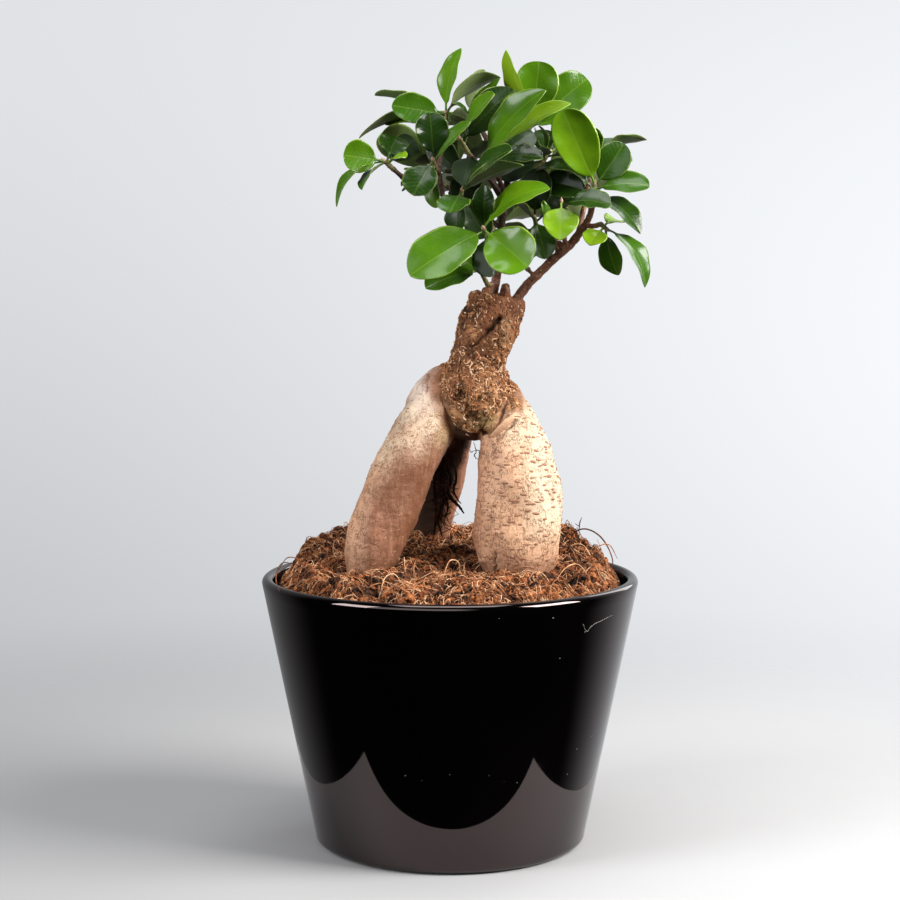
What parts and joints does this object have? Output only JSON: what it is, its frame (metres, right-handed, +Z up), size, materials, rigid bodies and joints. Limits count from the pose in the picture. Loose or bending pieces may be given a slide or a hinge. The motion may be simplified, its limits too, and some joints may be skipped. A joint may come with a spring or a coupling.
{
  "type": "potted ginseng ficus",
  "caption": "Small ficus with a leafy crown on a thick forked rootstock, growing in a tapered round pot with a glossy glaze and coir potting mix.",
  "frame": {"origin": "centre of the pot's flat foot, on the surface that it stands on", "axes": "+Z up along the pot's axis, -Y towards the side that the picture shows, +X to the right seen from there"},
  "size_m": [0.1965, 0.193, 0.405],
  "materials": {
    "glaze": "black glossy glaze",
    "soil": "loose brown coir fibre",
    "bark": "smooth pale bark with short cross marks, corky at the neck",
    "twig": "reddish brown young bark",
    "leaf": "waxy green leaf"
  },
  "bodies": {
    "root": {"limb_centre": "twig", "limb_right": "twig", "pot": "glaze", "rootstock": "bark", "shoot_back_left": "leaf", "shoot_back_low": "leaf", "shoot_back_middle": "leaf", "shoot_back_right": "leaf", "shoot_back_top": "leaf", "shoot_far_left": "leaf", "shoot_front_low": "leaf", "shoot_inner_left": "leaf", "shoot_inner_right": "leaf", "shoot_knee": "leaf", "shoot_left_front": "leaf", "shoot_left_top": "leaf", "shoot_low_left": "leaf", "shoot_middle": "leaf", "shoot_middle_left": "leaf", "shoot_right_back": "leaf", "shoot_right_front": "leaf", "shoot_right_head": "leaf", "shoot_right_inner": "leaf", "shoot_right_outer": "leaf", "shoot_spur": "leaf", "shoot_top": "leaf", "soil": "soil"}
  },
  "joints": []
}
